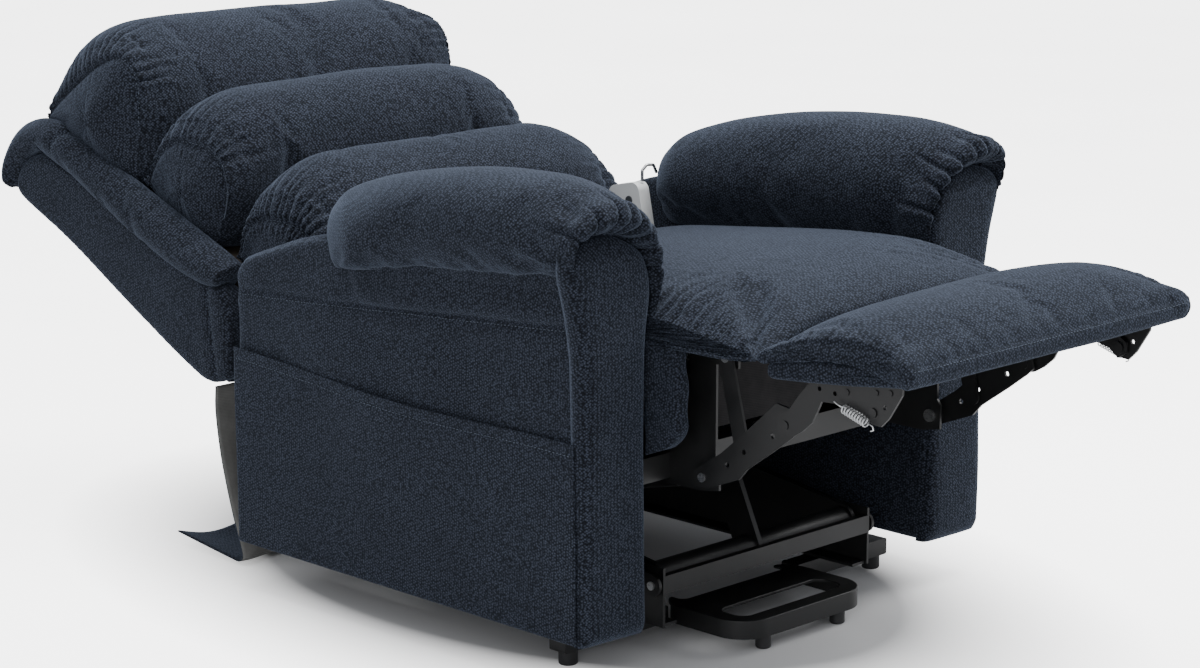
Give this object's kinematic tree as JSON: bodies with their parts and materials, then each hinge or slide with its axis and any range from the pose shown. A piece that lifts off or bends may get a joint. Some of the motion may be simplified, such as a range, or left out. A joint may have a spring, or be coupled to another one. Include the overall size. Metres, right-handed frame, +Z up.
{
  "type": "lift recliner chair",
  "caption": "Upholstered lift recliner, fully reclined with its footrest out, on a powered lift base; back, footrest and lift move.",
  "frame": {"origin": "on the floor, under the middle of the chair as it stands reclined", "axes": "+Z up, -Y the way the sitter faces, +X to the sitter's left"},
  "size_m": [0.8642, 1.715, 0.7545],
  "materials": {
    "navy_fabric": "matte woven pile",
    "timber": "rough sawn",
    "lining": "matte",
    "black_steel": "satin black paint",
    "zinc_steel": "bright zinc",
    "bright_rod": "polished",
    "black_plastic": "fine texture",
    "cable_rubber": "matte",
    "white_plastic": "satin",
    "circuit_green": "satin",
    "dark_button": "satin"
  },
  "bodies": {
    "base": {"base_rail_right": "black_steel", "base_rail_left": "black_steel", "base_crossbars": "black_steel", "base_foot_loop": "black_steel", "base_outriggers": "black_steel", "base_glides": "black_plastic", "base_pivot_bolts": "zinc_steel"},
    "lift_links": {"lift_arms": "black_steel", "lift_torque_tube": "black_steel"},
    "lift_stays": {"lift_stays": "black_steel"},
    "lift_motor": {"lift_motor": "black_plastic"},
    "lift_rod": {"lift_motor_rod": "bright_rod"},
    "chassis": {"chassis_plates": "black_steel", "chassis_front_tube": "black_steel", "chassis_middle_tube": "black_steel", "chassis_rear_tube": "black_steel", "chassis_bolts": "zinc_steel", "seat_front_rail": "lining", "seat_rails": "timber", "seat_springs": "zinc_steel", "seat_cushion": "navy_fabric", "seat_corner_flaps": "navy_fabric", "arm_cover_right": "navy_fabric", "arm_cover_left": "navy_fabric", "arm_frames": "timber", "arm_front_panel_right": "navy_fabric", "arm_front_panel_left": "navy_fabric", "arm_pad_right": "navy_fabric", "arm_pad_left": "navy_fabric", "side_pocket": "navy_fabric", "control_box": "black_plastic", "motor_lead": "cable_rubber", "handset_front": "white_plastic", "handset_back": "white_plastic", "handset_board": "circuit_green", "handset_hook": "zinc_steel"},
    "back_motor": {"back_motor": "black_plastic"},
    "back_rod": {"back_motor_rod": "bright_rod"},
    "back": {"back_wing_right": "navy_fabric", "back_wing_left": "navy_fabric", "back_rear_panel": "navy_fabric", "back_deck": "timber", "back_frame": "timber", "back_top_roll": "navy_fabric", "back_brackets": "black_steel", "lumbar_pillow": "navy_fabric", "middle_pillow": "navy_fabric", "head_pillow": "navy_fabric"},
    "flap": {"rear_flap": "navy_fabric"},
    "footrest_lower": {"footrest_lower_links": "black_steel"},
    "footrest_upper": {"footrest_upper_links": "black_steel"},
    "footrest_carriers": {"footrest_carrier_links": "black_steel"},
    "footrest": {"footrest_board": "lining", "footrest_pad": "navy_fabric", "footrest_brackets": "black_steel", "footrest_springs": "zinc_steel"},
    "button_up_left": {"button_up_left": "dark_button"},
    "button_up_right": {"button_up_right": "dark_button"},
    "button_down_left": {"button_down_left": "dark_button"},
    "button_down_right": {"button_down_right": "dark_button"}
  },
  "joints": [
    {"name": "lift_swing", "type": "hinge", "parent": "base", "child": "lift_links", "pos_m": [0, -0.352, 0.104], "axis": [1, 0, 0], "range_deg": [0, 50]},
    {"name": "chair_tilt", "type": "hinge", "parent": "lift_links", "child": "chassis", "pos_m": [0, 0.068, 0.16], "axis": [1, 0, 0], "range_deg": [-22, 0]},
    {"name": "stay_swing", "type": "hinge", "parent": "base", "child": "lift_stays", "pos_m": [0, -0.3755, 0.1019], "axis": [1, 0, 0], "range_deg": [0, 53.3]},
    {"name": "lift_motor_swing", "type": "hinge", "parent": "base", "child": "lift_motor", "pos_m": [0, 0.208, 0.08], "axis": [1, 0, 0], "range_deg": [0, 2.07]},
    {"name": "lift_rod_slide", "type": "slide", "parent": "lift_motor", "child": "lift_rod", "axis": [0, -0.9722, 0.2342], "range_m": [0, 0.0913]},
    {"name": "back_recline", "type": "hinge", "parent": "chassis", "child": "back", "pos_m": [0, 0.268, 0.42], "axis": [1, 0, 0], "range_deg": [0, 48]},
    {"name": "back_motor_swing", "type": "hinge", "parent": "chassis", "child": "back_motor", "pos_m": [0, -0.292, 0.313], "axis": [1, 0, 0], "range_deg": [0, 2.3]},
    {"name": "back_rod_slide", "type": "slide", "parent": "back_motor", "child": "back_rod", "axis": [0, 0.9999, 0.0127], "range_m": [0, 0.0789]},
    {"name": "flap_hang", "type": "hinge", "parent": "back", "child": "flap", "pos_m": [0, 0.39, 0.262], "axis": [1, 0, 0], "range_deg": [-48, 0]},
    {"name": "footrest_fold", "type": "hinge", "parent": "chassis", "child": "footrest_lower", "pos_m": [0, -0.484, 0.275], "axis": [1, 0, 0], "range_deg": [0, 135]},
    {"name": "footrest_elbow", "type": "hinge", "parent": "footrest_lower", "child": "footrest_upper", "pos_m": [0, -0.632, 0.372], "axis": [1, 0, 0], "range_deg": [-191, 0]},
    {"name": "footrest_turn", "type": "hinge", "parent": "footrest_upper", "child": "footrest", "pos_m": [0, -0.78, 0.4154], "axis": [1, 0, 0], "range_deg": [0, 143.4]},
    {"name": "carrier_swing", "type": "hinge", "parent": "chassis", "child": "footrest_carriers", "pos_m": [0, -0.517, 0.437], "axis": [1, 0, 0], "range_deg": [0, 48.7]},
    {"name": "press_up_left", "type": "slide", "parent": "chassis", "child": "button_up_left", "axis": [1, 0, 0], "range_m": [0, 0.0012], "stiffness_N_per_m": 900, "springref_m": -0.0002},
    {"name": "press_up_right", "type": "slide", "parent": "chassis", "child": "button_up_right", "axis": [1, 0, 0], "range_m": [0, 0.0012], "stiffness_N_per_m": 900, "springref_m": -0.0002},
    {"name": "press_down_left", "type": "slide", "parent": "chassis", "child": "button_down_left", "axis": [1, 0, 0], "range_m": [0, 0.0012], "stiffness_N_per_m": 900, "springref_m": -0.0002},
    {"name": "press_down_right", "type": "slide", "parent": "chassis", "child": "button_down_right", "axis": [1, 0, 0], "range_m": [0, 0.0012], "stiffness_N_per_m": 900, "springref_m": -0.0002}
  ],
  "couplings": [
    {"joint": "chair_tilt", "follows": "lift_swing", "ratio": -0.44},
    {"joint": "stay_swing", "follows": "lift_swing", "ratio": 1.0648},
    {"joint": "lift_motor_swing", "follows": "lift_swing", "ratio": 0.040311},
    {"joint": "lift_rod_slide", "follows": "lift_swing", "m_per_rad": 0.10403},
    {"joint": "back_motor_swing", "follows": "back_recline", "ratio": 0.04686},
    {"joint": "back_rod_slide", "follows": "back_recline", "m_per_rad": 0.093616},
    {"joint": "flap_hang", "follows": "back_recline", "ratio": -1},
    {"joint": "footrest_elbow", "follows": "footrest_fold", "ratio": -1.4137},
    {"joint": "footrest_turn", "follows": "footrest_fold", "ratio": 1.0612},
    {"joint": "carrier_swing", "follows": "footrest_fold", "ratio": 0.36}
  ]
}
